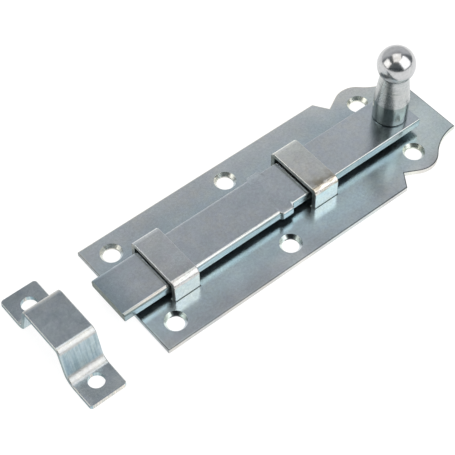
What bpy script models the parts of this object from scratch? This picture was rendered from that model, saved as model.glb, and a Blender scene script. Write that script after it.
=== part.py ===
"""Flat door bolt with a ball knob, six screw holes and a separate bent keeper.

The backplate lies on the XY plane with its back face at Z = 0 and its middle at the origin.
+X runs along the bar from its tip to the knob, +Y across the plate, +Z out from the door.
"""

import bpy
import bmesh
import math

MM = 0.001

# Backplate: stamped from sheet, with a rounded ear round each rear screw hole.
PLATE_LENGTH = 143.2 * MM
PLATE_WIDTH = 52.0 * MM
PLATE_THICKNESS = 2.0 * MM
PLATE_ROLL_WIDTH = 0.5 * MM
PLATE_ROLL_DEPTH = 0.2 * MM
SHOULDER_SETBACK = 34.2 * MM
NOTCH_SETBACK = 30.4 * MM
NOTCH_OFFSET = 20.3 * MM
EAR_RADIUS = 9.1 * MM
TAIL_HALF_WIDTH = 15.7 * MM

# Screw holes, pierced and countersunk from the front.
SCREW_HOLE_RADIUS = 3.15 * MM
COUNTERSINK_RADIUS = 4.15 * MM
SCREW_HOLE_LAND = 0.6 * MM
FRONT_HOLE_SETBACK = 8.9 * MM
MIDDLE_HOLE_SETBACK = 60.0 * MM
REAR_HOLE_SETBACK = 20.6 * MM
SIDE_HOLE_OFFSET = 18.25 * MM
REAR_HOLE_OFFSET = 15.2 * MM

# Bar: flat, with both upper long edges rounded and its tip cut square.
BAR_LENGTH = 136.4 * MM
BAR_WIDTH = 18.9 * MM
BAR_THICKNESS = 3.9 * MM
BAR_LIFT = 2.7 * MM
BAR_TIP_REACH = 5.5 * MM
BAR_TOP_ROUND = 1.3 * MM
BAR_BOTTOM_ROUND = 0.5 * MM
BAR_END_EASE = 0.35 * MM

# Stop lugs, pressed out of both long edges of the bar ahead of the rear strap.
LUG_LENGTH = 6.8 * MM
LUG_BULGE = 1.05 * MM
LUG_PRESS_DEPTH = 0.4 * MM
LUG_PRESS_WIDTH = 2.2 * MM
LUG_EDGE_ROUND = 0.5 * MM
LUG_FADE = 1.3 * MM
WITHDRAWAL_STROKE = 7.4 * MM

# Behind the lugs the bar is a little slimmer, with sharper edges.
SHANK_SETBACK = 0.45 * MM
SHANK_TOP_ROUND = 0.55 * MM

# Straps: two identical sheet loops whose legs pass through slots in the backplate.
STRAP_WIDTH = 10.8 * MM
STRAP_THICKNESS = 2.0 * MM
STRAP_BEND_RADIUS = 0.7 * MM
STRAP_EDGE_ROUND = 0.35 * MM
STRAP_HEADROOM = 0.9 * MM
STRAP_SIDE_ROOM = 0.85 * MM
STRAP_END_RECESS = 0.2 * MM
FRONT_STRAP_SETBACK = 18.85 * MM
REAR_STRAP_SETBACK = 81.9 * MM
SLOT_SIDE_GAP = 0.25 * MM
SLOT_END_GAP = 0.3 * MM

# Runner ribs, raised from the plate under each strap, which carry the bar.
RUNNER_WIDTH = 5.0 * MM
RUNNER_LENGTH = 13.0 * MM
RUNNER_EDGE = 0.8 * MM
RUNNER_GAP = 0.3 * MM

# Knob: one turned piece, riveted through the bar by its tenon.
KNOB_SETBACK = 7.0 * MM
KNOB_SEAT_GAP = 0.3 * MM
KNOB_STEM_RADIUS = 6.6 * MM
KNOB_STEM_HEIGHT = 9.2 * MM
KNOB_NECK_RADIUS = 5.2 * MM
KNOB_NECK_HEIGHT = 12.1 * MM
KNOB_BALL_RADIUS = 7.0 * MM
KNOB_EDGE_EASE = 0.3 * MM
TENON_RADIUS = 3.0 * MM
TENON_GAP = 0.3 * MM

# Keeper: a bent strip with two flat feet, lying ahead of the tip.
KEEPER_GAP = 17.9 * MM
KEEPER_WIDTH = 14.7 * MM
KEEPER_LENGTH = 52.8 * MM
KEEPER_THICKNESS = 1.9 * MM
KEEPER_HEADROOM = 4.8 * MM
KEEPER_SIDE_ROOM = 0.7 * MM
KEEPER_SHIFT = 0.6 * MM
KEEPER_CROWN_SHIFT = 0.2 * MM
KEEPER_LEAN = math.radians(14.0)
KEEPER_TOP_BEND = 0.9 * MM
KEEPER_FOOT_BEND = 3.4 * MM
KEEPER_CORNER_RADIUS = 1.1 * MM
KEEPER_EDGE_ROUND = 0.4 * MM
KEEPER_HOLE_RADIUS = 3.0 * MM
KEEPER_HOLE_SETBACK = 7.0 * MM

# The inner edges of bent sheet, and how finely curves are cut into flats.
SHEET_BACK_EASE = 0.25 * MM
CUT_MARGIN = 1.0 * MM
BEND_STEPS = 8
ROUND_STEPS = 4
HOLE_STEPS = 32
TURNED_STEPS = 56
BALL_STEPS = 22
SMOOTH_ANGLE = math.radians(32.0)

# Places that several pieces share.
PLATE_FRONT = -PLATE_LENGTH / 2.0
PLATE_REAR = PLATE_LENGTH / 2.0
BAR_BOTTOM = PLATE_THICKNESS + BAR_LIFT
BAR_TOP = BAR_BOTTOM + BAR_THICKNESS
BAR_FRONT = PLATE_FRONT - BAR_TIP_REACH
BAR_REAR = BAR_FRONT + BAR_LENGTH
KNOB_X = BAR_REAR - KNOB_SETBACK
FRONT_STRAP_X = PLATE_FRONT + FRONT_STRAP_SETBACK
REAR_STRAP_X = PLATE_FRONT + REAR_STRAP_SETBACK
LEG_MIDDLE = BAR_WIDTH / 2.0 + STRAP_SIDE_ROOM + STRAP_THICKNESS / 2.0


def clear_scene():
    """Remove whatever the scene holds at the start."""
    for thing in list(bpy.data.objects):
        bpy.data.objects.remove(thing, do_unlink=True)


def zinc(name, shade, roughness):
    """Return a bright zinc-plated steel material of the given shade."""
    material = bpy.data.materials.new(name)
    material.use_nodes = True
    shader = material.node_tree.nodes["Principled BSDF"]
    shader.inputs["Base Color"].default_value = (*shade, 1.0)
    shader.inputs["Metallic"].default_value = 1.0
    shader.inputs["Roughness"].default_value = roughness
    return material


def finish(name, bm, material, location=(0.0, 0.0, 0.0)):
    """Turn a bmesh into a named, smooth-shaded object with one material."""
    bmesh.ops.recalc_face_normals(bm, faces=bm.faces)
    mesh = bpy.data.meshes.new(name)
    bm.to_mesh(mesh)
    bm.free()
    if material is not None:
        mesh.materials.append(material)
    mesh.shade_smooth()
    mesh.set_sharp_from_angle(angle=SMOOTH_ANGLE)
    thing = bpy.data.objects.new(name, mesh)
    thing.location = location
    bpy.context.scene.collection.objects.link(thing)
    return thing


def combine(target, name, bm, operation, offset=(0.0, 0.0, 0.0)):
    """Cut the closed shape in bm, held at an offset, out of the target or join it on."""
    tool = finish(name, bm, None, offset)
    tool.parent = target
    tool.hide_render = True
    tool.display_type = "WIRE"
    modifier = target.modifiers.new(name, "BOOLEAN")
    modifier.operation = operation
    modifier.solver = "EXACT"
    modifier.object = tool


def cut(target, name, bm, offset=(0.0, 0.0, 0.0)):
    """Cut the closed shape in bm out of the target."""
    combine(target, name, bm, "DIFFERENCE", offset)


def arc(centre, radius, start, end, steps):
    """Return points on an arc, both ends included, with its angles in radians."""
    points = []
    for i in range(steps + 1):
        angle = start + (end - start) * i / steps
        points.append((centre[0] + radius * math.cos(angle), centre[1] + radius * math.sin(angle)))
    return points


def rounded_section(half_width, half_height, upper_radius, lower_radius):
    """Return a rectangle with rounded upper and lower corners as a closed loop of points."""
    loop = []
    for turn, (sx, sy) in enumerate(((1, 1), (-1, 1), (-1, -1), (1, -1))):
        radius = upper_radius if sy > 0 else lower_radius
        centre = (sx * (half_width - radius), sy * (half_height - radius))
        start = turn * math.pi / 2.0
        loop += arc(centre, radius, start, start + math.pi / 2.0, ROUND_STEPS)
    return loop


def bent_path(corners, radii, steps):
    """Round each inner corner of a polyline and return (point, normal) pairs along it.

    Points are (y, z). The normal lies to the left of the direction of travel.
    """
    def direction(a, b):
        length = math.hypot(b[0] - a[0], b[1] - a[1])
        return ((b[0] - a[0]) / length, (b[1] - a[1]) / length)

    way = direction(corners[0], corners[1])
    path = [(corners[0], (-way[1], way[0]))]
    for before, corner, after, radius in zip(corners, corners[1:], corners[2:], radii):
        way_in = direction(before, corner)
        way_out = direction(corner, after)
        cross = way_in[0] * way_out[1] - way_in[1] * way_out[0]
        turn = math.atan2(cross, way_in[0] * way_out[0] + way_in[1] * way_out[1])
        side = 1.0 if turn > 0.0 else -1.0
        reach = radius * math.tan(abs(turn) / 2.0)
        start = (corner[0] - way_in[0] * reach, corner[1] - way_in[1] * reach)
        centre = (start[0] - way_in[1] * radius * side, start[1] + way_in[0] * radius * side)
        for i in range(steps + 1):
            angle = math.atan2(way_in[1], way_in[0]) + turn * i / steps
            normal = (-math.sin(angle), math.cos(angle))
            point = (centre[0] - normal[0] * radius * side, centre[1] - normal[1] * radius * side)
            path.append((point, normal))
    way = direction(corners[-2], corners[-1])
    path.append((corners[-1], (-way[1], way[0])))
    return path


def skin(bm, loops):
    """Join equal loops of points into one closed skin with a face at each end."""
    rings = [[bm.verts.new(point) for point in loop] for loop in loops]
    for ring, following in zip(rings, rings[1:]):
        count = len(ring)
        for i in range(count):
            j = (i + 1) % count
            bm.faces.new((ring[i], ring[j], following[j], following[i]))
    bm.faces.new(list(reversed(rings[0])))
    bm.faces.new(rings[-1])


def rounded_end(point, inward, normal, radius):
    """Return (point, normal, narrowing) stations that round a strip's end in plan."""
    stations = []
    for i in range(BEND_STEPS):
        angle = math.pi / 2.0 * i / BEND_STEPS
        back = radius * (1.0 - math.cos(angle))
        place = (point[0] + inward * back, point[1])
        stations.append((place, normal, radius * (1.0 - math.sin(angle))))
    return stations


def bent_strip(width, thickness, path, edge_round, corner_radius=0.0):
    """Sweep a sheet's cross-section along a bent path and return the bmesh."""
    stations = [(point, normal, 0.0) for point, normal in path]
    if corner_radius > 0.0:
        (first, first_normal), (last, last_normal) = path[0], path[-1]
        head = rounded_end(first, 1.0, first_normal, corner_radius)
        tail = rounded_end(last, -1.0, last_normal, corner_radius)
        stations = head + stations[1:-1] + list(reversed(tail))
    loops = []
    for (y, z), normal, narrowing in stations:
        half = width / 2.0 - narrowing
        section = rounded_section(half, thickness / 2.0, edge_round, SHEET_BACK_EASE)
        loops.append([(x, y + normal[0] * n, z + normal[1] * n) for x, n in section])
    bm = bmesh.new()
    skin(bm, loops)
    return bm


def turned(profile, steps):
    """Spin a profile of (radius, height) points round Z and return the closed bmesh."""
    bm = bmesh.new()
    verts = [bm.verts.new((radius, 0.0, height)) for radius, height in profile]
    edges = [bm.edges.new(pair) for pair in zip(verts, verts[1:])]
    bmesh.ops.spin(
        bm,
        geom=verts + edges,
        cent=(0.0, 0.0, 0.0),
        axis=(0.0, 0.0, 1.0),
        angle=math.tau,
        steps=steps,
        use_duplicate=False,
    )
    bmesh.ops.remove_doubles(bm, verts=bm.verts, dist=0.001 * MM)
    return bm


def box(bm, low, high):
    """Add an axis-aligned box between two corners."""
    size = [high[i] - low[i] for i in range(3)]
    middle = [(high[i] + low[i]) / 2.0 for i in range(3)]
    made = bmesh.ops.create_cube(bm, size=1.0)["verts"]
    for vert in made:
        vert.co = [middle[i] + vert.co[i] * size[i] for i in range(3)]


def ear_outline():
    """Return the +Y half of the plate's rear outline, from the shoulder to the tail's end."""
    shoulder = (PLATE_REAR - SHOULDER_SETBACK, PLATE_WIDTH / 2.0)
    notch = (PLATE_REAR - NOTCH_SETBACK, NOTCH_OFFSET)
    ear = (PLATE_REAR - REAR_HOLE_SETBACK, REAR_HOLE_OFFSET)
    # The line from the notch touches the ear's arc, and so does the hollow arc behind it.
    reach = math.hypot(ear[0] - notch[0], ear[1] - notch[1])
    heading = math.atan2(ear[1] - notch[1], ear[0] - notch[0])
    touch = heading + math.asin(min(EAR_RADIUS / reach, 1.0)) + math.pi / 2.0
    run = REAR_HOLE_SETBACK
    rise = TAIL_HALF_WIDTH - REAR_HOLE_OFFSET
    hollow = (run ** 2 + rise ** 2 - EAR_RADIUS ** 2) / (2.0 * (EAR_RADIUS - rise))
    hollow_centre = (PLATE_REAR, TAIL_HALF_WIDTH + hollow)
    join = math.atan2(hollow_centre[1] - ear[1], hollow_centre[0] - ear[0])
    outline = [shoulder, notch]
    outline += arc(ear, EAR_RADIUS, touch, join, 2 * BEND_STEPS)
    outline += arc(hollow_centre, hollow, join + math.pi, 1.5 * math.pi, 2 * BEND_STEPS)[1:]
    return outline


def screw_places():
    """Return the centres of the six screw holes."""
    places = []
    for side in (-1.0, 1.0):
        places.append((PLATE_FRONT + FRONT_HOLE_SETBACK, side * SIDE_HOLE_OFFSET))
        places.append((PLATE_FRONT + MIDDLE_HOLE_SETBACK, side * SIDE_HOLE_OFFSET))
        places.append((PLATE_REAR - REAR_HOLE_SETBACK, side * REAR_HOLE_OFFSET))
    return places


def copies_at(bm, places):
    """Return a bmesh that repeats the given one at each (x, y) place."""
    pattern = bmesh.new()
    source = bpy.data.meshes.new("pattern_source")
    bm.to_mesh(source)
    bm.free()
    for x, y in places:
        start = len(pattern.verts)
        pattern.from_mesh(source)
        pattern.verts.ensure_lookup_table()
        bmesh.ops.translate(pattern, verts=pattern.verts[start:], vec=(x, y, 0.0))
    bpy.data.meshes.remove(source)
    return pattern


def countersink_cutter():
    """Return the solid that one countersunk screw hole removes from the plate."""
    cone_rise = PLATE_THICKNESS - SCREW_HOLE_LAND
    slope = (COUNTERSINK_RADIUS - SCREW_HOLE_RADIUS) / cone_rise
    profile = [
        (0.0, PLATE_THICKNESS + CUT_MARGIN),
        (COUNTERSINK_RADIUS + slope * CUT_MARGIN, PLATE_THICKNESS + CUT_MARGIN),
        (SCREW_HOLE_RADIUS, SCREW_HOLE_LAND),
        (SCREW_HOLE_RADIUS, -CUT_MARGIN),
        (0.0, -CUT_MARGIN),
    ]
    return turned(profile, HOLE_STEPS)


def runner_ribs():
    """Return a low rib with sloping sides for the place under each strap."""
    ribs = bmesh.new()
    top = BAR_BOTTOM - RUNNER_GAP
    for strap_x in (FRONT_STRAP_X, REAR_STRAP_X):
        low = (strap_x - RUNNER_WIDTH / 2.0, -RUNNER_LENGTH / 2.0, PLATE_THICKNESS / 2.0)
        high = (strap_x + RUNNER_WIDTH / 2.0, RUNNER_LENGTH / 2.0, top)
        box(ribs, low, high)
    upper = [e for e in ribs.edges if all(vert.co.z > PLATE_THICKNESS for vert in e.verts)]
    bmesh.ops.bevel(
        ribs,
        geom=upper,
        offset=RUNNER_EDGE,
        offset_type="OFFSET",
        segments=3,
        profile=0.5,
        affect="EDGES",
    )
    return ribs


def make_backplate():
    """Stamp the plate with its ears, screw holes and strap slots."""
    half = ear_outline()
    outline = [(PLATE_FRONT, -PLATE_WIDTH / 2.0)]
    outline += [(x, -y) for x, y in half]
    outline += list(reversed(half))
    outline += [(PLATE_FRONT, PLATE_WIDTH / 2.0)]
    bm = bmesh.new()
    rim = [bm.verts.new((x, y, 0.0)) for x, y in outline]
    bm.faces.new(rim)
    raised = bmesh.ops.extrude_face_region(bm, geom=bm.faces[:])["geom"]
    top = [item for item in raised if isinstance(item, bmesh.types.BMVert)]
    bmesh.ops.translate(bm, verts=top, vec=(0.0, 0.0, PLATE_THICKNESS))
    front_face = [item for item in raised if isinstance(item, bmesh.types.BMFace)][0]
    bmesh.ops.bevel(
        bm,
        geom=list(front_face.edges),
        offset=PLATE_ROLL_WIDTH,
        offset_type="OFFSET",
        segments=4,
        profile=0.5,
        affect="EDGES",
    )
    # The press rolls the edge over further than it draws it down.
    for vert in bm.verts:
        if vert.co.z > PLATE_THICKNESS / 2.0:
            drop = (PLATE_THICKNESS - vert.co.z) * PLATE_ROLL_DEPTH / PLATE_ROLL_WIDTH
            vert.co.z = PLATE_THICKNESS - drop
    plate = finish("backplate", bm, zinc("backplate_zinc", (0.58, 0.60, 0.63), 0.32))
    combine(plate, "runner_ribs", runner_ribs(), "UNION")
    cut(plate, "screw_hole_cutter", copies_at(countersink_cutter(), screw_places()))
    slots = bmesh.new()
    for strap_x in (FRONT_STRAP_X, REAR_STRAP_X):
        reach = STRAP_WIDTH / 2.0 + SLOT_END_GAP
        depth = STRAP_THICKNESS / 2.0 + SLOT_SIDE_GAP
        for side in (-1.0, 1.0):
            y = side * LEG_MIDDLE
            low = (strap_x - reach, y - depth, -CUT_MARGIN)
            high = (strap_x + reach, y + depth, PLATE_THICKNESS + CUT_MARGIN)
            box(slots, low, high)
    cut(plate, "strap_slot_cutter", slots)


def make_strap(name, strap_x):
    """Bend one sheet loop over the bar, with its legs down through the plate."""
    crown = BAR_TOP + STRAP_HEADROOM + STRAP_THICKNESS / 2.0
    corners = [
        (-LEG_MIDDLE, STRAP_END_RECESS),
        (-LEG_MIDDLE, crown),
        (LEG_MIDDLE, crown),
        (LEG_MIDDLE, STRAP_END_RECESS),
    ]
    middle_radius = STRAP_BEND_RADIUS + STRAP_THICKNESS / 2.0
    path = bent_path(corners, (middle_radius, middle_radius), BEND_STEPS)
    bm = bent_strip(STRAP_WIDTH, STRAP_THICKNESS, path, STRAP_EDGE_ROUND)
    finish(name, bm, zinc(name + "_zinc", (0.60, 0.61, 0.63), 0.30), (strap_x, 0.0, 0.0))


def pressed(x):
    """Return how far the press has marked the bar's edges at x, from 0 to 1."""
    rear = REAR_STRAP_X - STRAP_WIDTH / 2.0 - WITHDRAWAL_STROKE
    front = rear - LUG_LENGTH
    rise = min((x - front) / LUG_FADE, (rear - x) / LUG_FADE, 1.0)
    rise = max(rise, 0.0)
    return rise * rise * (3.0 - 2.0 * rise)


def slimmed(x):
    """Return how far the bar has passed into its slimmer shank at x, from 0 to 1."""
    rear = REAR_STRAP_X - STRAP_WIDTH / 2.0 - WITHDRAWAL_STROKE
    return min(max((x - rear + LUG_FADE) / LUG_FADE, 0.0), 1.0)


def bar_section(x):
    """Return the bar's cross-section at x as a loop of points, lugs included."""
    mark = pressed(x)
    slim = slimmed(x)
    side = BAR_WIDTH / 2.0 - slim * SHANK_SETBACK + mark * LUG_BULGE
    plain_round = BAR_TOP_ROUND + slim * (SHANK_TOP_ROUND - BAR_TOP_ROUND)
    top_round = plain_round + mark * (LUG_EDGE_ROUND - plain_round)
    edge_top = BAR_TOP - mark * LUG_PRESS_DEPTH
    shoulder = (side - top_round, edge_top - top_round)
    upper = arc(shoulder, top_round, 0.0, math.pi / 2.0, BEND_STEPS)
    upper.append((side - top_round - LUG_PRESS_WIDTH, BAR_TOP))
    corner = (side - BAR_BOTTOM_ROUND, BAR_BOTTOM + BAR_BOTTOM_ROUND)
    right = arc(corner, BAR_BOTTOM_ROUND, -math.pi / 2.0, 0.0, ROUND_STEPS) + upper
    left = [(-y, z) for y, z in reversed(right)]
    return [(x, y, z) for y, z in right + left]


def bar_stations():
    """Return the X stations of the bar's sections, close together at the lugs."""
    rear = REAR_STRAP_X - STRAP_WIDTH / 2.0 - WITHDRAWAL_STROKE
    front = rear - LUG_LENGTH
    steps = 5
    stations = [BAR_FRONT]
    stations += [front + LUG_FADE * i / steps for i in range(steps + 1)]
    stations += [rear - LUG_FADE + LUG_FADE * i / steps for i in range(steps + 1)]
    stations.append(BAR_REAR)
    return stations


def make_bar(slide):
    """Loft the bar through its sections, ease its ends and bore it for the tenon."""
    bm = bmesh.new()
    skin(bm, [bar_section(x) for x in bar_stations()])
    end_edges = []
    for edge in bm.edges:
        if all(abs(vert.co.x - BAR_FRONT) < 0.01 * MM for vert in edge.verts):
            end_edges.append(edge)
        elif all(abs(vert.co.x - BAR_REAR) < 0.01 * MM for vert in edge.verts):
            end_edges.append(edge)
    bmesh.ops.bevel(
        bm,
        geom=end_edges,
        offset=BAR_END_EASE,
        offset_type="OFFSET",
        segments=2,
        profile=0.5,
        affect="EDGES",
        clamp_overlap=True,
    )
    down = (0.0, 0.0, -slide.location.z)
    bar = finish("bolt_bar", bm, zinc("bar_zinc", (0.55, 0.58, 0.62), 0.28), down)
    bar.parent = slide
    radius = TENON_RADIUS + TENON_GAP
    bore = [
        (0.0, BAR_TOP + CUT_MARGIN),
        (radius, BAR_TOP + CUT_MARGIN),
        (radius, BAR_BOTTOM - CUT_MARGIN),
        (0.0, BAR_BOTTOM - CUT_MARGIN),
    ]
    cut(bar, "tenon_hole_cutter", turned(bore, HOLE_STEPS), (KNOB_X, 0.0, 0.0))


def make_knob(slide):
    """Turn the knob: a tenon, a round stem, a tapered neck and a ball."""
    seat = BAR_TOP + KNOB_SEAT_GAP
    shoulder = seat + KNOB_STEM_HEIGHT
    neck = shoulder + KNOB_NECK_HEIGHT
    sink = math.sqrt(KNOB_BALL_RADIUS ** 2 - KNOB_NECK_RADIUS ** 2)
    centre = neck + sink
    start = -math.asin(sink / KNOB_BALL_RADIUS)
    profile = [(0.0, BAR_BOTTOM), (TENON_RADIUS, BAR_BOTTOM), (TENON_RADIUS, seat)]
    profile += [(KNOB_STEM_RADIUS - KNOB_EDGE_EASE, seat), (KNOB_STEM_RADIUS, seat + KNOB_EDGE_EASE)]
    profile += [(KNOB_STEM_RADIUS, shoulder), (KNOB_NECK_RADIUS, neck)]
    ball = arc((0.0, centre), KNOB_BALL_RADIUS, start, math.pi / 2.0, BALL_STEPS)
    profile += ball[1:-1]
    profile.append((0.0, centre + KNOB_BALL_RADIUS))
    bm = turned(profile, TURNED_STEPS)
    place = (KNOB_X, 0.0, -slide.location.z)
    knob = finish("knob", bm, zinc("knob_zinc", (0.66, 0.67, 0.69), 0.12), place)
    knob.parent = slide


def make_keeper():
    """Bend the keeper strip, round its corners and punch a hole in each foot."""
    keeper_x = PLATE_FRONT - KEEPER_GAP - KEEPER_WIDTH / 2.0
    half_sheet = KEEPER_THICKNESS / 2.0
    crown = BAR_TOP + KEEPER_HEADROOM + half_sheet
    # The legs clear the bar's sides at the height of its upper face.
    inner_at_bar = BAR_WIDTH / 2.0 + KEEPER_SIDE_ROOM
    middle_at_bar = inner_at_bar + half_sheet / math.cos(KEEPER_LEAN)
    top_y = middle_at_bar - (crown - BAR_TOP) * math.tan(KEEPER_LEAN)
    foot_y = middle_at_bar + (BAR_TOP - half_sheet) * math.tan(KEEPER_LEAN)
    end = KEEPER_LENGTH / 2.0
    aside = KEEPER_CROWN_SHIFT
    corners = [(-end, half_sheet), (-foot_y - aside, half_sheet), (-top_y - aside, crown)]
    corners += [(top_y - aside, crown), (foot_y - aside, half_sheet), (end, half_sheet)]
    foot_bend = KEEPER_FOOT_BEND + half_sheet
    top_bend = KEEPER_TOP_BEND + half_sheet
    path = bent_path(corners, (foot_bend, top_bend, top_bend, foot_bend), BEND_STEPS)
    bm = bent_strip(KEEPER_WIDTH, KEEPER_THICKNESS, path, KEEPER_EDGE_ROUND, KEEPER_CORNER_RADIUS)
    keeper = finish(
        "keeper",
        bm,
        zinc("keeper_zinc", (0.56, 0.58, 0.61), 0.30),
        (keeper_x, -KEEPER_SHIFT, 0.0),
    )
    punch = [
        (0.0, KEEPER_THICKNESS + CUT_MARGIN),
        (KEEPER_HOLE_RADIUS, KEEPER_THICKNESS + CUT_MARGIN),
        (KEEPER_HOLE_RADIUS, -CUT_MARGIN),
        (0.0, -CUT_MARGIN),
    ]
    places = [(0.0, side * (end - KEEPER_HOLE_SETBACK)) for side in (-1.0, 1.0)]
    holes = copies_at(turned(punch, HOLE_STEPS), places)
    cut(keeper, "keeper_hole_cutter", holes)


def slide_axis():
    """Return the empty on the bar's middle line, which carries what slides."""
    slide = bpy.data.objects.new("bolt_slide", None)
    slide.location = (0.0, 0.0, (BAR_BOTTOM + BAR_TOP) / 2.0)
    bpy.context.scene.collection.objects.link(slide)
    return slide


def main():
    """Build every piece of the bolt."""
    clear_scene()
    slide = slide_axis()
    make_backplate()
    make_strap("front_strap", FRONT_STRAP_X)
    make_strap("rear_strap", REAR_STRAP_X)
    make_bar(slide)
    make_knob(slide)
    make_keeper()


main()
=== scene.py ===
"""Looks of the flat door bolt: bright zinc-plated steel in a soft studio light.

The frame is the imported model's: the backplate lies on Z = 0 with its middle at the origin, and
+X runs along the bar from its tip to the knob. Near means towards -Y and far towards +Y. Lengths
are in metres, but the places that the platings' masks are given are in millimetres.
"""

import math
from collections import namedtuple

import bpy
from mathutils import Matrix, Vector

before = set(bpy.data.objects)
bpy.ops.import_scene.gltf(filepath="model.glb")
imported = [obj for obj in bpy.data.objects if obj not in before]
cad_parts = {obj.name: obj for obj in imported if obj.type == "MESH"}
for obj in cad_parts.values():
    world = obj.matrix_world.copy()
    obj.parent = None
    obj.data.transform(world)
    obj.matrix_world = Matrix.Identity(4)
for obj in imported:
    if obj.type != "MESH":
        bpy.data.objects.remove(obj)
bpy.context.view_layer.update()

MM = 0.001

# Camera: the photograph's own view.
CAMERA_AZIMUTH = math.radians(-38.989)
CAMERA_ELEVATION = math.radians(52.884)
CAMERA_ROLL = math.radians(0.342)
CAMERA_DISTANCE = 481.23 * MM
CAMERA_TARGET = Vector((-23.42 * MM, 2.36 * MM, 0.0))
CAMERA_LENS = 107.17
CAMERA_CLIP_START = 0.01
SENSOR_WIDTH = 36.0

# Studio: soft boxes as azimuth, elevation, width and height in degrees, radiance and colour.
LIGHT_DISTANCE = 1.1
LIGHT_TARGET = Vector((-0.015, 0.0, 0.0))
SOFT_BOXES = {
    "left_box": (-113.0, 26.0, 40.0, 38.0, 1.65, (1.0, 0.975, 0.94)),
    "right_box": (27.0, 37.0, 54.0, 58.0, 1.75, (1.0, 0.995, 1.0)),
    "top_box": (-39.0, 86.0, 44.0, 50.0, 1.32, (1.0, 0.965, 0.92)),
    "camera_side_fill": (-39.0, 41.0, 76.0, 28.0, 0.08, (0.97, 1.0, 1.0)),
}

# Studio walls: brightness by the angle round the room, from the camera's side to the far side.
WALL_AZIMUTH = math.radians(148.0)
WALL_ROUND = (
    (0.0, (0.072, 0.088, 0.096)),
    (0.36, (0.080, 0.096, 0.104)),
    (0.52, (0.200, 0.220, 0.235)),
    (0.68, (0.230, 0.250, 0.265)),
    (0.77, (1.0, 1.0, 1.0)),
    (1.0, (1.0, 1.0, 1.0)),
)

# The walls' radiance by the sine of the height, which the brightness round the room scales.
WALL_HEIGHT = (
    (0.0, (0.680, 0.690, 0.705)),
    (0.72, (0.650, 0.665, 0.682)),
    (0.79, (0.500, 0.512, 0.530)),
    (0.83, (0.415, 0.425, 0.440)),
    (0.90, (0.370, 0.380, 0.395)),
    (1.0, (0.360, 0.370, 0.385)),
)

# Floor: white paper, lit so that next to no shadow shows on it.
FLOOR_HALF = 3.0
FLOOR_LEVEL = -0.02 * MM
FLOOR_COLOUR = (0.24, 0.24, 0.24)
FLOOR_ROUGHNESS = 0.9
FLOOR_SPECULAR = 0.1
FLOOR_GLOW = 0.88

# Smoothing of the model's facets.
WELD_DISTANCE = 0.002 * MM
SHARP_ANGLE = math.radians(30.0)
NORMAL_WEIGHT = 50

# A noise texture, with its scale per metre and the two values that its mask fades between.
Texture = namedtuple("Texture", "scale detail roughness low high", defaults=(0.0, 1.0))

# Textures of every plating.
CLOUDS = Texture(90.0, 3.0, 0.55, low=0.36, high=0.64)
BLOTCHES = Texture(330.0, 4.0, 0.55, low=0.40, high=0.66)
BROAD_DRIFT = Texture(55.0, 2.0, 0.55, low=0.3, high=0.7)
SPECKLE = Texture(1100.0, 3.0, 0.7, low=0.3, high=0.7)
DULLNESS_DRIFT = Texture(210.0, 5.0, 0.55, low=0.3, high=0.7)
TORN_STEEL = Texture((700.0, 700.0, 1600.0), 3.0, 0.55, low=0.35, high=0.6)
FINE_GRAIN = Texture(900.0, 4.0, 0.6)
SHEET_WAVES = Texture(60.0, 2.0, 0.55)

# How far those textures vary what they act on, and how deep they go.
BROAD_SPAN = (0.95, 1.05)
SPECKLE_SPAN = (0.90, 1.08)
DULLNESS_SPAN = (-0.03, 0.04)
TORN_SPAN = (0.6, 1.0)
GRAIN_DEPTH = 0.004 * MM
WAVE_DEPTH = 0.03 * MM

# Facings: the two shares of a normal along an axis that a mask fades between.
UPRIGHT_LEVELS = (0.10, 0.50)
FLAT_LEVELS = (0.55, 0.97)
END_FACING = (0.75, 0.95)
NEAR_FACING = (0.02, 0.2)
BEND_TOP_LEVELS = (0.93, 0.999)
BEND_FADE = 0.23

# Faces sheared off at the ends.
SHEARED_TINT = (0.50, 0.50, 0.49)
SHEARED_DULLNESS = 0.2

# Platings: cool, warm and violet tints, and a painted light tint laid over all three on upright
# faces.
FLAT_TINTS = ((0.530, 0.592, 0.628), (0.580, 0.606, 0.612), (0.545, 0.584, 0.634))
PLAIN_TINT = (1.0, 1.0, 1.0)

# Backplate: its tints, and its roughness on flat and on worked faces.
PLATE_TINTS = (*FLAT_TINTS, PLAIN_TINT)
PLATE_ROUGHNESS = (0.205, 0.27)

# Zones of painted reflection: beside the bar, by the rear strap, and pale patches, as X and Y
# from, to and fade.
WHOLE_LENGTH = (-80.0, 80.0, 1.0)
NEAR_EDGE = (-30.0, -20.0, 2.0)
PAINTED_REFLECTION_PATCH_TINT = (1.28, 1.26, 1.22)
PAINTED_REFLECTION_ZONES = (
    (WHOLE_LENGTH, (-20.0, 0.0, 3.0), (1.13, 1.24, 1.24)),
    (WHOLE_LENGTH, (0.0, 18.0, 3.0), (1.01, 1.07, 1.07)),
    ((-2.0, 26.0, 4.0), (-30.0, -17.0, 3.0), (1.08, 1.15, 1.16)),
    ((-22.0, -8.0, 4.0), NEAR_EDGE, PAINTED_REFLECTION_PATCH_TINT),
    ((33.0, 50.0, 4.0), NEAR_EDGE, PAINTED_REFLECTION_PATCH_TINT),
)

# The far strip, a painted reflection which pales towards the rear, the tail at the knob's end,
# painted lighter, and broad waves.
FAR_STRIP_Y = (14.0, 24.0)
FAR_STRIP_X = (-70.0, 45.0)
FAR_STRIP_SPAN = (0.45, 1.0)
FAR_STRIP_PAINTED_REFLECTION_TINT = (1.28, 1.24, 1.18)
TAIL_X = (42.0, 56.0)
TAIL_PAINTED_LIGHT_TINT = (1.14, 1.08, 1.02)
PLATE_WAVES = Texture(38.0, 2.0, 0.55, low=0.36, high=0.64)
PLATE_WAVE_TINT = (0.90, 0.91, 0.92)
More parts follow.
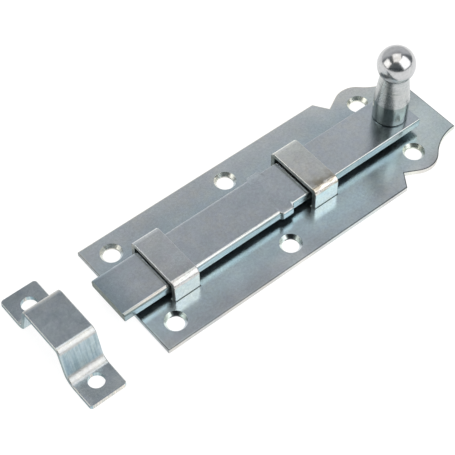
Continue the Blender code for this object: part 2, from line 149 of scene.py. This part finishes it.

# The backplate's rolled edge, with a painted dark reflection on the near side and a painted
# highlight on the far side, and its cut sides below that, painted lighter where they face near.
ROLL_LOW_LEVELS = (0.30, 0.45)
ROLL_HIGH_LEVELS = (0.975, 0.999)
ROLL_NEAR_FACING = (-0.15, 0.0)
NEAR_ROLL_PAINTED_REFLECTION_TINT = (0.16, 0.17, 0.17)
FAR_ROLL_PAINTED_HIGHLIGHT_TINT = (1.10, 1.0, 0.88)
CUT_SIDE_FACING = (0.4, 0.7)
CUT_SIDE_PAINTED_LIGHT_TINT = (1.14, 1.06, 0.98)

# The backplate's screw holes as X and Y, and the radius within which their countersinks lie.
HOLE_PAIRS = ((-62.7, 18.25), (-11.6, 18.25), (51.0, 15.2))
SCREW_HOLES = [(x, side * y) for x, y in HOLE_PAIRS for side in (-1.0, 1.0)]
COUNTERSINK_REACH = 4.3

# Countersinks: a painted highlight where they face near, painted shade over it at the rear near
# holes, and a painted dark reflection in the corner that faces towards the camera.
CONE_LEVELS = (0.90, 0.97)
CONE_FACING = (-0.35, -0.05)
CONE_PAINTED_HIGHLIGHT_TINT = (1.45, 1.36, 1.22)
MIDDLE_Y = (-5.0, 5.0)
REAR_HOLES_X = (20.0, 40.0)
REAR_CONE_PAINTED_SHADE_TINT = (0.76, 0.76, 0.75)
DARK_CORNER_DIRECTION = (0.629, 0.777)
DARK_CORNER_FACING = (0.70, 0.80)
DARK_CORNER_PAINTED_REFLECTION_TINT = (0.12, 0.12, 0.13)
REAR_CORNER_LOSS = 0.85
FAR_CORNER_LOSS = 0.55

# Bar: drawing marks on its rounded edges, a dulled tip in painted shade, painted shade on its
# steep edges and on its edges at the rear, and a painted highlight on its near bends, toned down
# towards the tip.
# The bar's fourth tint is painted reflection colour on its upright sides.
BAR_TINTS = (*FLAT_TINTS, (0.92, 0.98, 0.96))
BAR_ROUGHNESS = (0.19, 0.25)
BAR_END_TINT = (0.49, 0.43, 0.335)
BAR_TIP_X = (-77.0, -68.0)
BAR_TIP_PAINTED_SHADE_TINT = (0.66, 0.74, 0.77)
DRAWING_MARKS = Texture((60.0, 900.0, 1800.0), 4.0, 0.6, low=0.40, high=0.60)
DRAWING_DEPTH = 0.014 * MM
DRAWING_TINT = (0.60, 0.65, 0.65)
BAR_EDGE_LEVELS = (0.55, 0.90)
STEEP_LOW_LEVELS = (0.05, 0.30)
STEEP_HIGH_LEVELS = (0.60, 0.82)
STEEP_EDGE_PAINTED_SHADE_TINT = (0.66, 0.74, 0.76)
BAR_REAR = (16.0, 80.0, 1.0)
BAR_REAR_EDGE_PAINTED_SHADE_TINT = (0.80, 0.82, 0.82)
BAR_BEND_LEVEL = 0.25
BAR_BEND_PAINTED_HIGHLIGHT_TINT = (1.13, 1.07, 0.99)
TIP_BEND_X = (-62.0, -57.0)
TIP_BEND_PAINTED_SHADE_TINT = (0.80, 0.75, 0.70)

# The bar's lower edge, in shade towards the knob.
LOWER_EDGE_Z = (5.0, 5.4)
LOWER_EDGE_X = (30.0, 46.0)
LOWER_EDGE_TINT = (0.35, 0.40, 0.40)

# Straps: creased over their near bends and stained towards them, the rear one the more, with a
# painted highlight on the near bends and their far part painted lighter.
# The front strap's fourth tint is painted light that lightens its legs.
FRONT_STRAP_TINTS = (
    (0.55, 0.60, 0.625), (0.59, 0.61, 0.61), (0.57, 0.585, 0.62), (1.14, 1.11, 1.04),
)
FRONT_STRAP_WORN_TINT = (0.86, 0.85, 0.82)
FRONT_STRAP_CREASE_DEPTH = 0.05 * MM
# The rear strap's fourth tint is painted shade that darkens its legs.
REAR_STRAP_TINTS = (
    (0.68, 0.71, 0.69), (0.72, 0.705, 0.66), (0.66, 0.675, 0.685), (0.88, 0.93, 0.93),
)
REAR_STRAP_WORN_TINT = (0.55, 0.51, 0.44)
REAR_STRAP_CREASE_DEPTH = 0.14 * MM
STRAP_ROUGHNESS = (0.22, 0.24)
STRAP_BEND_LEVEL = 0.02
STRAP_BEND_PAINTED_HIGHLIGHT_TINT = (1.09, 1.05, 1.01)
STRAP_CREASES = Texture((200.0, 800.0, 800.0), 4.0, 0.6, low=0.44, high=0.58)
STRAP_BLOTS = Texture(190.0, 4.0, 0.6, low=0.46, high=0.62)
STRAP_BLOT_BASE = 0.7
STRAP_STAIN_Y = (-11.5, -4.0)
STRAP_STAIN_MOST = 0.9
STRAP_STAIN_LEAST = 0.12
STRAP_TOP_LEVELS = (0.9, 1.0)
# The strap's far part is painted lighter.
STRAP_FAR_Y = (2.0, 11.0)
STRAP_FAR_PAINTED_LIGHT_TINT = (1.12, 1.12, 1.10)

# Keeper: blotted, with rough bends carrying a painted highlight, drag marks down its legs, legs
# painted lighter, and a painted highlight on its foot end.
# The keeper's fourth tint is painted reflection colour on its upright faces.
KEEPER_TINTS = (
    (0.434, 0.496, 0.525), (0.458, 0.496, 0.510), (0.438, 0.482, 0.525), (0.88, 1.0, 0.99),
)
KEEPER_ROUGHNESS = (0.21, 0.34)
KEEPER_BEND_LEVEL = 0.26
KEEPER_BEND_DULLNESS = 0.06
KEEPER_BEND_PAINTED_HIGHLIGHT_TINT = (1.26, 1.16, 1.07)
KEEPER_BLOTS = Texture(130.0, 4.0, 0.65, low=0.48, high=0.68)
KEEPER_BLOT_TINT = (0.80, 0.83, 0.85)
DRAG_MARKS = Texture((1500.0, 110.0, 110.0), 4.0, 0.65, low=0.42, high=0.62)
DRAG_DEPTH = 0.02 * MM
DRAG_TINT = (0.52, 0.62, 0.68)
KEEPER_LEG_PAINTED_LIGHT_TINT = (1.39, 1.36, 1.34)
FOOT_EDGE_FACING = (0.975, 0.99)
FOOT_EDGE_PAINTED_HIGHLIGHT_TINT = (1.62, 1.22, 1.06)

# Knob: tool marks round its dull neck, painted lighter, painted shade on its stem, and painted
# shade below the middle of the ball.
KNOB_TINTS = (
    (0.575, 0.590, 0.600), (0.600, 0.598, 0.590), (0.590, 0.592, 0.605), PLAIN_TINT,
)
KNOB_ROUGHNESS = (0.20, 0.20)
KNOB_GRAIN = Texture(700.0, 4.0, 0.6)
NECK_Z = (18.1, 29.9, 0.3)
NECK_DULLNESS = 0.06
NECK_PAINTED_LIGHT_TINT = (1.30, 1.31, 1.30)
TOOL_MARKS = Texture((120.0, 120.0, 1300.0), 3.0, 0.55, low=0.53, high=0.66)
TOOL_MARK_DEPTH = 0.02 * MM
TOOL_MARK_TINT = (0.74, 0.77, 0.77)
STEM_Z = (17.9, 18.3)
STEM_PAINTED_SHADE_TINT = (0.76, 0.86, 0.84)
LOWER_BALL_Z = (32.5, 35.0)
LOWER_BALL_PAINTED_SHADE_TINT = (0.70, 0.715, 0.71)


def link(tree, source, target):
    """Join two sockets of a node tree."""
    tree.links.new(source, target)


def give(tree, value, socket):
    """Set a socket from another socket, or to a plain value."""
    if isinstance(value, bpy.types.NodeSocket):
        link(tree, value, socket)
    else:
        socket.default_value = value


def ramp(tree, factor, stops):
    """Add a colour ramp with the given (position, colour) stops."""
    node = tree.nodes.new("ShaderNodeValToRGB")
    elements = node.color_ramp.elements
    for i, (position, colour) in enumerate(stops):
        element = elements[i] if i < 2 else elements.new(position)
        element.position = position
        element.color = (*colour, 1.0)
    link(tree, factor, node.inputs["Fac"])
    return node.outputs["Color"]


def remap(tree, value, low, high, out_low, out_high):
    """Map a value's range onto another, clamped."""
    node = tree.nodes.new("ShaderNodeMapRange")
    node.inputs["From Min"].default_value = low
    node.inputs["From Max"].default_value = high
    node.inputs["To Min"].default_value = out_low
    node.inputs["To Max"].default_value = out_high
    link(tree, value, node.inputs["Value"])
    return node.outputs["Result"]


def maths(tree, operation, first, second=0.0):
    """Add a math node on two sockets or numbers."""
    node = tree.nodes.new("ShaderNodeMath")
    node.operation = operation
    give(tree, first, node.inputs[0])
    give(tree, second, node.inputs[1])
    return node.outputs["Value"]


def mixed(tree, factor, first, second, mode="MIX"):
    """Mix two colours by a value socket or a number."""
    node = tree.nodes.new("ShaderNodeMix")
    node.data_type = "RGBA"
    node.blend_type = mode
    give(tree, factor, node.inputs[0])
    give(tree, first, node.inputs[6])
    give(tree, second, node.inputs[7])
    return node.outputs[2]


def grey(tree, value):
    """Turn a value into a grey colour."""
    node = tree.nodes.new("ShaderNodeCombineColor")
    for channel in ("Red", "Green", "Blue"):
        link(tree, value, node.inputs[channel])
    return node.outputs["Color"]


class Zinc:
    """A zinc plating under construction: its node tree, its masks and the results so far."""

    def __init__(self, name, cool, warm, violet, side):
        self.material = bpy.data.materials.new(name)
        self.material.use_nodes = True
        self.tree = self.material.node_tree
        self.shader = self.tree.nodes["Principled BSDF"]
        self.shader.inputs["Metallic"].default_value = 1.0
        self.place = self.tree.nodes.new("ShaderNodeTexCoord").outputs["Object"]
        self.at = self.split(self.place)
        facing = self.split(self.tree.nodes.new("ShaderNodeNewGeometry").outputs["Normal"])
        self.level = maths(self.tree, "ABSOLUTE", facing["Z"])
        self.endwise = maths(self.tree, "ABSOLUTE", facing["X"])
        self.nearward = self.times(facing["Y"], -1.0)
        self.frontward = self.times(facing["X"], -1.0)
        self.upright = self.falling(self.level, *UPRIGHT_LEVELS)
        # The side tint is painted light on the upright faces.
        self.colour = self.clouded(cool, warm, violet, side)
        self.roughness = None
        self.normal = None

    def split(self, vector):
        """Return a vector's three values by axis name."""
        node = self.tree.nodes.new("ShaderNodeSeparateXYZ")
        link(self.tree, vector, node.inputs["Vector"])
        return node.outputs

    def times(self, first, second):
        """Return the product of two values."""
        return maths(self.tree, "MULTIPLY", first, second)

    def plus(self, first, second):
        """Return the sum of two values."""
        return maths(self.tree, "ADD", first, second)

    def larger(self, first, second):
        """Return the larger of two values."""
        return maths(self.tree, "MAXIMUM", first, second)

    def outside(self, mask):
        """Return what a mask leaves out."""
        return maths(self.tree, "SUBTRACT", 1.0, mask)

    def rising(self, value, low, high):
        """Return a mask that is 0 up to the low value and 1 from the high one on."""
        return remap(self.tree, value, low, high, 0.0, 1.0)

    def falling(self, value, low, high):
        """Return a mask that is 1 up to the low value and 0 from the high one on."""
        return remap(self.tree, value, low, high, 1.0, 0.0)

    def beyond(self, axis, low, high):
        """Return a mask that is 0 before the low place on an axis and 1 beyond the high one."""
        return self.rising(self.at[axis], low * MM, high * MM)

    def before(self, axis, low, high):
        """Return a mask that is 1 before the low place on an axis and 0 beyond the high one."""
        return self.falling(self.at[axis], low * MM, high * MM)

    def between(self, axis, low, high, fade):
        """Return a mask of the stretch between two places on an axis, faded at both ends."""
        begun = self.beyond(axis, low - fade, low + fade)
        return self.times(begun, self.before(axis, high - fade, high + fade))

    def near_holes(self, holes, reach):
        """Return a mask of the surface within reach of a hole's axis."""
        tree = self.tree
        found = 0.0
        for x, y in holes:
            along = maths(tree, "SUBTRACT", self.at["X"], x * MM)
            across = maths(tree, "SUBTRACT", self.at["Y"], y * MM)
            square = self.plus(self.times(along, along), self.times(across, across))
            found = self.larger(found, maths(tree, "LESS_THAN", square, (reach * MM) ** 2))
        return found

    def bends(self, leg_level):
        """Return a mask of the bends, without the flat faces and the legs of that level."""
        steep = self.rising(self.level, leg_level, leg_level + BEND_FADE)
        return self.times(steep, self.falling(self.level, *BEND_TOP_LEVELS))

    def near_bends(self, leg_level):
        """Return a mask of the bends on the near side."""
        return self.times(self.bends(leg_level), self.rising(self.nearward, *NEAR_FACING))

    def noise(self, texture):
        """Return a noise texture's value, drawn out where it has a scale for each axis."""
        node = self.tree.nodes.new("ShaderNodeTexNoise")
        node.inputs["Detail"].default_value = texture.detail
        node.inputs["Roughness"].default_value = texture.roughness
        if isinstance(texture.scale, tuple):
            node.inputs["Scale"].default_value = 1.0
            link(self.tree, self.stretched(texture.scale), node.inputs["Vector"])
        else:
            node.inputs["Scale"].default_value = texture.scale
            link(self.tree, self.place, node.inputs["Vector"])
        return node.outputs["Fac"]

    def stretched(self, scale):
        """Return the place scaled along each axis."""
        node = self.tree.nodes.new("ShaderNodeMapping")
        node.inputs["Scale"].default_value = scale
        link(self.tree, self.place, node.inputs["Vector"])
        return node.outputs["Vector"]

    def pattern(self, texture, low=0.0, high=1.0, value=None):
        """Spread a texture's value, or the value given, over the span from low to high."""
        if value is None:
            value = self.noise(texture)
        return remap(self.tree, value, texture.low, texture.high, low, high)

    def clouded(self, cool, warm, violet, side):
        """Mix the plating's three tints in soft clouds, with a fine speckle over them, and paint
        light on the upright faces.
        """
        tree = self.tree
        colour = mixed(tree, self.pattern(CLOUDS), (*cool, 1.0), (*warm, 1.0))
        colour = mixed(tree, self.pattern(BLOTCHES), colour, (*violet, 1.0))
        for texture, span in ((BROAD_DRIFT, BROAD_SPAN), (SPECKLE, SPECKLE_SPAN)):
            brightness = grey(tree, self.pattern(texture, *span))
            colour = mixed(tree, 1.0, colour, brightness, "MULTIPLY")
        return mixed(tree, self.upright, colour, self.tinted(colour, side))

    def tinted(self, colour, tint):
        """Return the colour multiplied by a tint."""
        return mixed(self.tree, 1.0, colour, (*tint, 1.0), "MULTIPLY")

    def stain(self, mask, tint):
        """Tint the colour so far wherever the mask is set."""
        self.colour = mixed(self.tree, mask, self.colour, self.tinted(self.colour, tint))

    def matt(self, flat, worked):
        """Set the roughness of flat faces and of bends, chamfers and rolled edges."""
        low, high = FLAT_LEVELS
        base = remap(self.tree, self.level, low, high, worked, flat)
        self.roughness = self.plus(base, self.pattern(DULLNESS_DRIFT, *DULLNESS_SPAN))

    def dull(self, mask, amount):
        """Roughen the surface wherever the mask is set."""
        self.roughness = self.plus(self.roughness, self.times(mask, amount))

    def sheared(self, tint=SHEARED_TINT):
        """Dull the faces at the ends, where the steel was sheared off."""
        ends = self.rising(self.endwise, *END_FACING)
        self.stain(self.times(ends, self.pattern(TORN_STEEL, *TORN_SPAN)), tint)
        self.dull(ends, SHEARED_DULLNESS)

    def dent(self, height, depth, strength=1.0):
        """Press a height into the surface, on top of what is pressed in already."""
        node = self.tree.nodes.new("ShaderNodeBump")
        node.inputs["Distance"].default_value = depth
        link(self.tree, height, node.inputs["Height"])
        give(self.tree, strength, node.inputs["Strength"])
        if self.normal is not None:
            link(self.tree, self.normal, node.inputs["Normal"])
        self.normal = node.outputs["Normal"]

    def finished(self):
        """Connect the results and return the material."""
        link(self.tree, self.colour, self.shader.inputs["Base Color"])
        link(self.tree, self.roughness, self.shader.inputs["Roughness"])
        link(self.tree, self.normal, self.shader.inputs["Normal"])
        return self.material


def tint_plate_face(zinc):
    """Paint reflections and light on zones of the backplate's face, with broad waves over all of
    it.
    """
    for stretch_x, stretch_y, tint in PAINTED_REFLECTION_ZONES:
        zone = zinc.times(zinc.between("X", *stretch_x), zinc.between("Y", *stretch_y))
        zinc.stain(zone, tint)
    start, end = FAR_STRIP_X
    rearward = remap(zinc.tree, zinc.at["X"], start * MM, end * MM, *FAR_STRIP_SPAN)
    zinc.stain(zinc.times(rearward, zinc.beyond("Y", *FAR_STRIP_Y)), FAR_STRIP_PAINTED_REFLECTION_TINT)
    zinc.stain(zinc.beyond("X", *TAIL_X), TAIL_PAINTED_LIGHT_TINT)
    zinc.stain(zinc.pattern(PLATE_WAVES), PLATE_WAVE_TINT)


def tint_plate_edges(zinc, cones):
    """Paint reflections on the backplate's rolled edge and light on its near cut sides, but not on
    its countersinks.
    """
    plain = zinc.outside(cones)
    steep_enough = zinc.rising(zinc.level, *ROLL_LOW_LEVELS)
    rolled = zinc.times(steep_enough, zinc.falling(zinc.level, *ROLL_HIGH_LEVELS))
    rolled = zinc.times(rolled, plain)
    near = zinc.rising(zinc.nearward, *ROLL_NEAR_FACING)
    zinc.stain(zinc.times(rolled, near), NEAR_ROLL_PAINTED_REFLECTION_TINT)
    zinc.stain(zinc.times(rolled, zinc.outside(near)), FAR_ROLL_PAINTED_HIGHLIGHT_TINT)
    sides = zinc.times(zinc.upright, zinc.rising(zinc.nearward, *CUT_SIDE_FACING))
    zinc.stain(zinc.times(sides, plain), CUT_SIDE_PAINTED_LIGHT_TINT)


def tint_countersinks(zinc, cones):
    """Paint a highlight on the countersinks, shade on the rear near ones, and a dark reflection in
    the corner that faces the camera.
    """
    zinc.stain(zinc.times(cones, zinc.rising(zinc.nearward, *CONE_FACING)), CONE_PAINTED_HIGHLIGHT_TINT)
    rear = zinc.beyond("X", *REAR_HOLES_X)
    far = zinc.beyond("Y", *MIDDLE_Y)
    rear_near = zinc.times(rear, zinc.outside(far))
    zinc.stain(zinc.times(cones, rear_near), REAR_CONE_PAINTED_SHADE_TINT)
    front_share, near_share = DARK_CORNER_DIRECTION
    frontward = zinc.times(zinc.frontward, front_share)
    corner = zinc.plus(frontward, zinc.times(zinc.nearward, near_share))
    loss = zinc.larger(zinc.times(rear, REAR_CORNER_LOSS), zinc.times(far, FAR_CORNER_LOSS))
    dark = zinc.times(zinc.rising(corner, *DARK_CORNER_FACING), zinc.outside(loss))
    zinc.stain(zinc.times(cones, dark), DARK_CORNER_PAINTED_REFLECTION_TINT)


def plate_zinc(name):
    """Return the backplate's plating: clouded face, with painted reflections and light on its
    face, edges and countersinks.
    """
    zinc = Zinc(name, *PLATE_TINTS)
    zinc.matt(*PLATE_ROUGHNESS)
    zinc.sheared()
    tint_plate_face(zinc)
    holes = zinc.near_holes(SCREW_HOLES, COUNTERSINK_REACH)
    cones = zinc.times(holes, zinc.falling(zinc.level, *CONE_LEVELS))
    tint_plate_edges(zinc, cones)
    tint_countersinks(zinc, cones)
    zinc.dent(zinc.noise(FINE_GRAIN), GRAIN_DEPTH)
    zinc.dent(zinc.noise(SHEET_WAVES), WAVE_DEPTH)
    return zinc.finished()


def tint_bar_edges(zinc, edges):
    """Paint shade on the bar's long edges where they are steep, at the rear and low down, and a
    highlight on its near bends, toned down near the tip.
    """
    steep = zinc.times(zinc.rising(zinc.level, *STEEP_LOW_LEVELS),
                       zinc.falling(zinc.level, *STEEP_HIGH_LEVELS))
    zinc.stain(steep, STEEP_EDGE_PAINTED_SHADE_TINT)
    zinc.stain(zinc.times(edges, zinc.between("X", *BAR_REAR)), BAR_REAR_EDGE_PAINTED_SHADE_TINT)
    bend = zinc.near_bends(BAR_BEND_LEVEL)
    zinc.stain(bend, BAR_BEND_PAINTED_HIGHLIGHT_TINT)
    zinc.stain(zinc.times(bend, zinc.before("X", *TIP_BEND_X)), TIP_BEND_PAINTED_SHADE_TINT)
    lower = zinc.times(zinc.before("Z", *LOWER_EDGE_Z), zinc.beyond("X", *LOWER_EDGE_X))
    zinc.stain(lower, LOWER_EDGE_TINT)


def bar_zinc(name):
    """Return the bar's plating, with drawing marks along its edges and a dulled tip in painted
    shade.
    """
    zinc = Zinc(name, *BAR_TINTS)
    zinc.matt(*BAR_ROUGHNESS)
    zinc.sheared(BAR_END_TINT)
    zinc.stain(zinc.before("X", *BAR_TIP_X), BAR_TIP_PAINTED_SHADE_TINT)
    marks = zinc.noise(DRAWING_MARKS)
    edges = zinc.falling(zinc.level, *BAR_EDGE_LEVELS)
    zinc.stain(zinc.times(edges, zinc.pattern(DRAWING_MARKS, value=marks)), DRAWING_TINT)
    tint_bar_edges(zinc, edges)
    zinc.dent(zinc.noise(FINE_GRAIN), GRAIN_DEPTH)
    zinc.dent(marks, DRAWING_DEPTH, edges)
    zinc.dent(zinc.noise(SHEET_WAVES), WAVE_DEPTH)
    return zinc.finished()


def stain_strap_top(zinc, worn_tint):
    """Stain a strap's top, most of all towards its near bend."""
    spread = zinc.times(zinc.before("Y", *STRAP_STAIN_Y), STRAP_STAIN_MOST)
    spread = zinc.larger(spread, STRAP_STAIN_LEAST)
    stained = zinc.times(spread, zinc.plus(zinc.pattern(STRAP_BLOTS), STRAP_BLOT_BASE))
    zinc.stain(zinc.times(stained, zinc.rising(zinc.level, *STRAP_TOP_LEVELS)), worn_tint)


def strap_zinc(name, tints, worn_tint, crease_depth):
    """Return a strap's plating, worn and creased over its near bend, with a painted highlight
    there and its far part painted lighter.
    """
    zinc = Zinc(name, *tints)
    zinc.matt(*STRAP_ROUGHNESS)
    zinc.sheared()
    bend = zinc.near_bends(STRAP_BEND_LEVEL)
    creases = zinc.noise(STRAP_CREASES)
    zinc.stain(zinc.times(bend, zinc.pattern(STRAP_CREASES, value=creases)), worn_tint)
    stain_strap_top(zinc, worn_tint)
    zinc.stain(zinc.beyond("Y", *STRAP_FAR_Y), STRAP_FAR_PAINTED_LIGHT_TINT)
    zinc.stain(bend, STRAP_BEND_PAINTED_HIGHLIGHT_TINT)
    zinc.dent(zinc.noise(FINE_GRAIN), GRAIN_DEPTH)
    zinc.dent(creases, crease_depth, bend)
    return zinc.finished()


def keeper_zinc(name):
    """Return the keeper's plating, dull over its bends with a painted highlight there, drag marks
    and painted light on its legs.
    """
    zinc = Zinc(name, *KEEPER_TINTS)
    zinc.matt(*KEEPER_ROUGHNESS)
    zinc.sheared()
    bend = zinc.bends(KEEPER_BEND_LEVEL)
    zinc.dull(bend, KEEPER_BEND_DULLNESS)
    zinc.stain(zinc.pattern(KEEPER_BLOTS), KEEPER_BLOT_TINT)
    marks = zinc.noise(DRAG_MARKS)
    zinc.stain(zinc.times(zinc.upright, zinc.pattern(DRAG_MARKS, value=marks)), DRAG_TINT)
    zinc.stain(zinc.upright, KEEPER_LEG_PAINTED_LIGHT_TINT)
    zinc.stain(bend, KEEPER_BEND_PAINTED_HIGHLIGHT_TINT)
    foot_edge = zinc.times(zinc.upright, zinc.rising(zinc.nearward, *FOOT_EDGE_FACING))
    zinc.stain(foot_edge, FOOT_EDGE_PAINTED_HIGHLIGHT_TINT)
    zinc.dent(zinc.noise(FINE_GRAIN), GRAIN_DEPTH)
    zinc.dent(marks, DRAG_DEPTH, zinc.upright)
    return zinc.finished()


def knob_zinc(name):
    """Return the turned knob's plating, dull with tool marks round its neck, painted lighter
    there, with painted shade at its stem and below the middle of its ball.
    """
    zinc = Zinc(name, *KNOB_TINTS)
    zinc.matt(*KNOB_ROUGHNESS)
    neck = zinc.between("Z", *NECK_Z)
    zinc.dull(neck, NECK_DULLNESS)
    marks = zinc.noise(TOOL_MARKS)
    zinc.stain(zinc.times(neck, zinc.pattern(TOOL_MARKS, value=marks)), TOOL_MARK_TINT)
    zinc.stain(neck, NECK_PAINTED_LIGHT_TINT)
    zinc.stain(zinc.before("Z", *STEM_Z), STEM_PAINTED_SHADE_TINT)
    zinc.stain(zinc.before("Z", *LOWER_BALL_Z), LOWER_BALL_PAINTED_SHADE_TINT)
    zinc.dent(zinc.noise(KNOB_GRAIN), GRAIN_DEPTH)
    zinc.dent(marks, TOOL_MARK_DEPTH, neck)
    return zinc.finished()


def smoothed(node_object):
    """Shade a faceted model piece as the smooth, sharp-edged piece it stands for."""
    mesh = node_object.data
    normals = mesh.attributes.get("custom_normal")
    if normals is not None:
        mesh.attributes.remove(normals)
    for polygon in mesh.polygons:
        polygon.use_smooth = True
    weld = node_object.modifiers.new("weld", "WELD")
    weld.merge_threshold = WELD_DISTANCE
    split = node_object.modifiers.new("sharp_edges", "EDGE_SPLIT")
    split.split_angle = SHARP_ANGLE
    weighted = node_object.modifiers.new("weighted_normals", "WEIGHTED_NORMAL")
    weighted.weight = NORMAL_WEIGHT
    weighted.keep_sharp = True


def dress_nodes():
    """Give every model piece its plating."""
    plating = {
        "backplate": plate_zinc("backplate_zinc"),
        "bolt_bar": bar_zinc("bolt_bar_zinc"),
        "front_strap": strap_zinc("front_strap_zinc", FRONT_STRAP_TINTS,
                                  FRONT_STRAP_WORN_TINT, FRONT_STRAP_CREASE_DEPTH),
        "rear_strap": strap_zinc("rear_strap_zinc", REAR_STRAP_TINTS,
                                 REAR_STRAP_WORN_TINT, REAR_STRAP_CREASE_DEPTH),
        "knob": knob_zinc("knob_zinc"),
        "keeper": keeper_zinc("keeper_zinc"),
    }
    for name, node_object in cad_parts.items():
        smoothed(node_object)
        node_object.data.materials.clear()
        node_object.data.materials.append(plating[name])


def direction(azimuth, elevation):
    """Return the unit vector towards an azimuth, 0 at -Y and positive to +X, and elevation."""
    level = math.cos(elevation)
    return Vector((math.sin(azimuth) * level, -math.cos(azimuth) * level, math.sin(elevation)))


def add_camera():
    """Set the camera at the photograph's viewing angle."""
    back = direction(CAMERA_AZIMUTH, CAMERA_ELEVATION)
    right = Vector((math.cos(CAMERA_AZIMUTH), math.sin(CAMERA_AZIMUTH), 0.0))
    up = back.cross(right)
    turned_right = math.cos(CAMERA_ROLL) * right - math.sin(CAMERA_ROLL) * up
    turned_up = math.sin(CAMERA_ROLL) * right + math.cos(CAMERA_ROLL) * up
    data = bpy.data.cameras.new("photo_camera")
    data.lens = CAMERA_LENS
    data.sensor_width = SENSOR_WIDTH
    data.clip_start = CAMERA_CLIP_START
    camera = bpy.data.objects.new("photo_camera", data)
    rotation = Matrix((turned_right, turned_up, back)).transposed().to_4x4()
    camera.matrix_world = Matrix.Translation(CAMERA_TARGET + CAMERA_DISTANCE * back) @ rotation
    bpy.context.scene.collection.objects.link(camera)
    bpy.context.scene.camera = camera


def add_soft_box(name, azimuth, elevation, width, height, radiance, colour):
    """Hang a rectangular soft box that faces the bolt and fills the given angles."""
    away = direction(math.radians(azimuth), math.radians(elevation))
    data = bpy.data.lights.new(name, "AREA")
    data.shape = "RECTANGLE"
    data.size = 2.0 * LIGHT_DISTANCE * math.tan(math.radians(width) / 2.0)
    data.size_y = 2.0 * LIGHT_DISTANCE * math.tan(math.radians(height) / 2.0)
    data.color = colour
    data.energy = radiance * math.pi * data.size * data.size_y
    box = bpy.data.objects.new(name, data)
    box.rotation_euler = away.to_track_quat("Z", "Y").to_euler()
    box.location = LIGHT_TARGET + LIGHT_DISTANCE * away
    bpy.context.scene.collection.objects.link(box)


def vector_maths(tree, operation, first, second=None):
    """Add a vector math node on a socket and a plain vector, if it takes one."""
    node = tree.nodes.new("ShaderNodeVectorMath")
    node.operation = operation
    link(tree, first, node.inputs[0])
    if second is not None:
        node.inputs[1].default_value = second
    return node


def add_walls():
    """Light the room: dark behind the camera, and a far wall that darkens upwards."""
    world = bpy.data.worlds.new("studio")
    world.use_nodes = True
    bpy.context.scene.world = world
    tree = world.node_tree
    place = tree.nodes.new("ShaderNodeTexCoord").outputs["Generated"]
    level = vector_maths(tree, "MULTIPLY", place, (1.0, 1.0, 0.0)).outputs["Vector"]
    outward = vector_maths(tree, "NORMALIZE", level).outputs["Vector"]
    facing = vector_maths(tree, "DOT_PRODUCT", outward, direction(WALL_AZIMUTH, 0.0))
    around = remap(tree, facing.outputs["Value"], -1.0, 1.0, 0.0, 1.0)
    parts = tree.nodes.new("ShaderNodeSeparateXYZ")
    link(tree, place, parts.inputs["Vector"])
    upward = ramp(tree, parts.outputs["Z"], WALL_HEIGHT)
    light = mixed(tree, 1.0, ramp(tree, around, WALL_ROUND), upward, "MULTIPLY")
    link(tree, light, tree.nodes["Background"].inputs["Color"])


def add_floor():
    """Lay the plain white floor."""
    mesh = bpy.data.meshes.new("floor")
    corners = [(-FLOOR_HALF, -FLOOR_HALF), (FLOOR_HALF, -FLOOR_HALF)]
    corners += [(FLOOR_HALF, FLOOR_HALF), (-FLOOR_HALF, FLOOR_HALF)]
    mesh.from_pydata([(x, y, FLOOR_LEVEL) for x, y in corners], [], [(0, 1, 2, 3)])
    floor = bpy.data.objects.new("floor", mesh)
    material = bpy.data.materials.new("floor_paper")
    material.use_nodes = True
    shader = material.node_tree.nodes["Principled BSDF"]
    shader.inputs["Base Color"].default_value = (*FLOOR_COLOUR, 1.0)
    shader.inputs["Roughness"].default_value = FLOOR_ROUGHNESS
    shader.inputs["Specular IOR Level"].default_value = FLOOR_SPECULAR
    shader.inputs["Emission Color"].default_value = (1.0, 1.0, 1.0, 1.0)
    shader.inputs["Emission Strength"].default_value = FLOOR_GLOW
    mesh.materials.append(material)
    bpy.context.scene.collection.objects.link(floor)


dress_nodes()
add_camera()
for box_name, box_values in SOFT_BOXES.items():
    add_soft_box(box_name, *box_values)
add_walls()
add_floor()
bpy.context.scene.view_settings.view_transform = "Standard"
